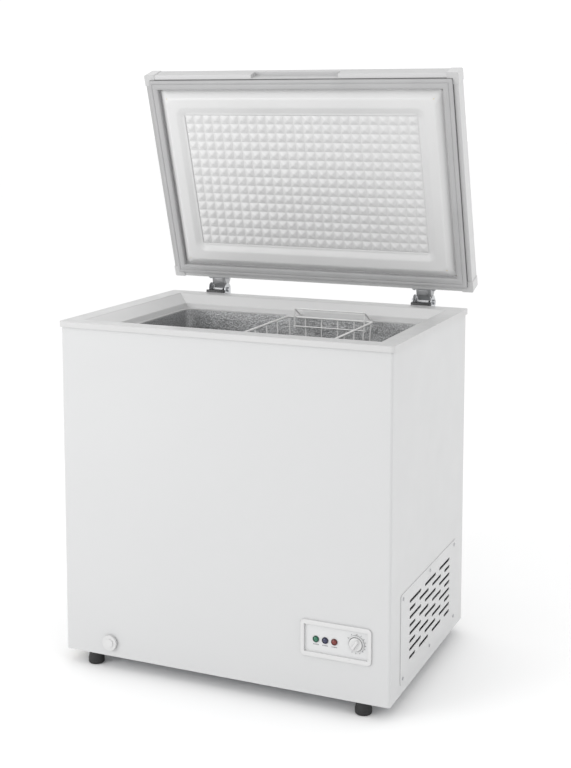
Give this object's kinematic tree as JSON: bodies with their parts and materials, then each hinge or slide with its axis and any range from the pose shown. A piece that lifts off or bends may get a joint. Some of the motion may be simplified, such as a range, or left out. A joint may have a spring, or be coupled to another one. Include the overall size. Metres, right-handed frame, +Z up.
{
  "type": "chest freezer",
  "caption": "Small white chest freezer with its sprung lid standing open, a wire basket hung in an embossed aluminium tub, side air vents, front thermostat and drain, on rubber feet.",
  "frame": {"origin": "On the floor under the centre of the bounding box of the freezer with its lid open 73 degrees.", "axes": "+Z up; -Y is the front, where the control panel is; +X is the viewer's right when facing the front."},
  "size_m": [0.807, 0.62, 1.3652],
  "materials": {
    "black_paint": "black painted steel",
    "black_rubber": "matt black rubber",
    "blue_lens": "dark blue lens",
    "copper": "drawn copper",
    "foam": "rigid polyurethane foam",
    "green_lens": "green lens",
    "grey_seal": "soft grey magnetic gasket",
    "plate_grey": "pale grey satin plastic",
    "red_lens": "red lens",
    "satin_plastic": "satin white plastic",
    "stucco_aluminium": "embossed stucco aluminium sheet",
    "tube_aluminium": "drawn aluminium tube",
    "white_paint": "smooth white coil-coated steel",
    "white_plastic": "glossy white plastic",
    "wire_coat": "white plastic-dipped wire",
    "zinc": "bright zinc-plated steel",
    "zinc_sheet": "plain galvanised sheet"
  },
  "bodies": {
    "cabinet": {"cabinet_shell": "white_paint", "rear_panel": "white_paint", "base_panel": "zinc_sheet", "compressor_plate": "zinc_sheet", "compartment_liner": "zinc_sheet", "top_rim": "white_plastic", "inner_liner": "stucco_aluminium", "cabinet_foam": "foam", "evaporator_coil": "tube_aluminium", "condenser_coil": "black_paint", "vent_cover": "white_paint", "vent_screws": "zinc", "compressor": "black_paint", "compressor_mounts": "black_rubber", "compressor_bolts": "zinc", "terminal_cover": "black_paint", "filter_drier": "copper", "discharge_pipe": "copper", "suction_pipe": "copper", "liquid_line": "copper", "capillary_tube": "copper", "thermostat_body": "satin_plastic", "control_bezel": "white_plastic", "control_plate": "plate_grey", "lamp_green": "green_lens", "lamp_blue": "blue_lens", "lamp_red": "red_lens", "drain_outlet": "satin_plastic", "drain_tube": "satin_plastic", "cord_gland": "black_rubber", "feet": "black_rubber", "foot_screws": "zinc", "hinge_body_left": "zinc", "hinge_body_right": "zinc", "hinge_nut_plates": "zinc_sheet", "hinge_body_screws": "zinc", "hinge_pins": "zinc", "hinge_spring_left": "zinc", "hinge_spring_right": "zinc"},
    "lid": {"hinge_arm_left": "zinc", "hinge_arm_right": "zinc", "hinge_arm_screws": "zinc", "lid_top_panel": "white_paint", "lid_foam": "foam", "lid_liner": "white_plastic", "lid_gasket": "grey_seal", "lid_rail_front": "white_plastic", "lid_rail_rear": "white_plastic", "lid_rail_left": "white_plastic", "lid_rail_right": "white_plastic", "lid_corner_caps": "white_plastic"},
    "left_plunger": {"hinge_plunger_left": "black_paint"},
    "right_plunger": {"hinge_plunger_right": "black_paint"},
    "knob": {"thermostat_knob": "white_plastic", "thermostat_shaft": "zinc"},
    "drain_cover": {"drain_cap": "white_plastic"},
    "tub_stopper": {"drain_plug": "black_rubber"},
    "wire_basket": {"basket_frame": "wire_coat", "basket_floor_ring": "wire_coat", "basket_grid": "wire_coat"}
  },
  "joints": [
    {"name": "lid_hinge", "type": "hinge", "parent": "cabinet", "child": "lid", "pos_m": [0, 0.27561, 0.802], "axis": [-1, 0, 0], "range_deg": [-73, 12], "stiffness_Nm_per_rad": 6.5, "springref_deg": 13.98},
    {"name": "left_plunger_slide", "type": "slide", "parent": "cabinet", "child": "left_plunger", "axis": [0, 0, 1], "range_m": [-0.0105, 0.0018], "deforming": ["hinge_spring_left"]},
    {"name": "right_plunger_slide", "type": "slide", "parent": "cabinet", "child": "right_plunger", "axis": [0, 0, 1], "range_m": [-0.0105, 0.0018], "deforming": ["hinge_spring_right"]},
    {"name": "thermostat_turn", "type": "hinge", "parent": "cabinet", "child": "knob", "pos_m": [0.3185, -0.29699, 0.1585], "axis": [0, -1, 0], "range_deg": [-120, 150]},
    {"name": "drain_cover_pull", "type": "slide", "parent": "cabinet", "child": "drain_cover", "axis": [0, -1, 0], "range_m": [0, 0.03]},
    {"name": "tub_stopper_pull", "type": "slide", "parent": "cabinet", "child": "tub_stopper", "axis": [0, 0, 1], "range_m": [0, 0.04]},
    {"name": "basket_slide", "type": "slide", "parent": "cabinet", "child": "wire_basket", "axis": [1, 0, 0], "range_m": [-0.27, 0.09]}
  ],
  "couplings": [
    {"joint": "left_plunger_slide", "follows": "lid_hinge", "m_per_rad": 0.00822},
    {"joint": "right_plunger_slide", "follows": "lid_hinge", "m_per_rad": 0.00822}
  ]
}
